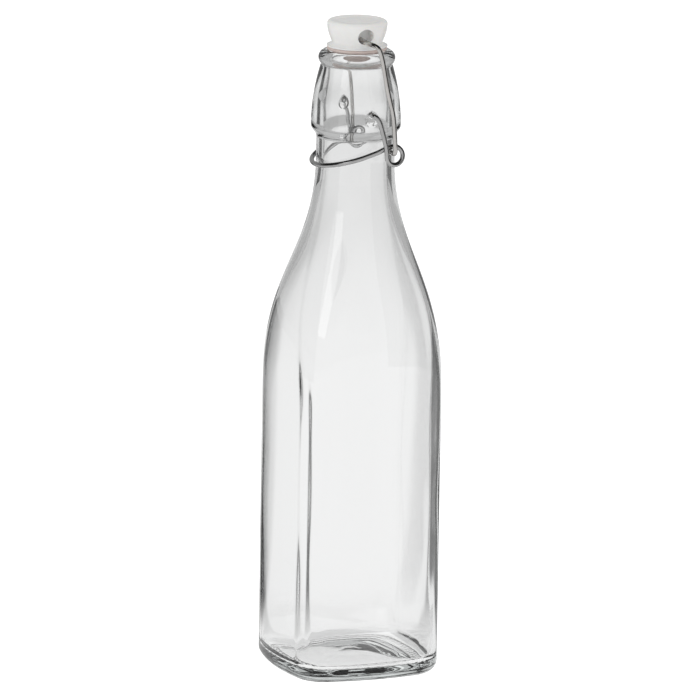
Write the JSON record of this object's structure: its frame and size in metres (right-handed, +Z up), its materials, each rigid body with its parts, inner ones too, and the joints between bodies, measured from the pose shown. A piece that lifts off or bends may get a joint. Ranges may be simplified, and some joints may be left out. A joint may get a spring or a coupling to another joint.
{
  "type": "swing-top glass bottle",
  "caption": "Slim square clear glass bottle with a round neck, closed by a hinged wire lever, a bail and a white stopper with a soft gasket.",
  "frame": {"origin": "middle of the base, on the surface that the bottle stands on", "axes": "+Z up through the neck, X along the closure's pivot axis, -Y towards the lever's handle"},
  "size_m": [0.065, 0.065, 0.2629],
  "materials": {
    "clear_glass": "clear, smooth, moulded",
    "white_stopper": "glossy white",
    "gasket_rubber": "matt, pale pinkish white",
    "spring_wire": "bright drawn wire",
    "lever_steel": "bright drawn wire"
  },
  "bodies": {
    "bottle": {"glass_bottle": "clear_glass"},
    "lever": {"lever_wire": "lever_steel"},
    "bail": {"bail_wire": "spring_wire"},
    "stopper": {"stopper": "white_stopper", "gasket": "gasket_rubber"}
  },
  "joints": [
    {"name": "lever_turn", "type": "hinge", "parent": "bottle", "child": "lever", "pos_m": [0, 0, 0.2276], "axis": [-1, 0, 0], "range_deg": [0, 100], "deforming": ["gasket"]},
    {"name": "bail_turn", "type": "hinge", "parent": "lever", "child": "bail", "pos_m": [0, 0.0077, 0.21245], "axis": [-1, 0, 0], "range_deg": [-65, 1]},
    {"name": "stopper_turn", "type": "hinge", "parent": "bail", "child": "stopper", "pos_m": [0, -0.001, 0.256], "axis": [-1, 0, 0], "range_deg": [-37, 1]}
  ],
  "couplings": [
    {"joint": "bail_turn", "follows": "lever_turn", "ratio": -0.64},
    {"joint": "stopper_turn", "follows": "lever_turn", "ratio": -0.36}
  ]
}
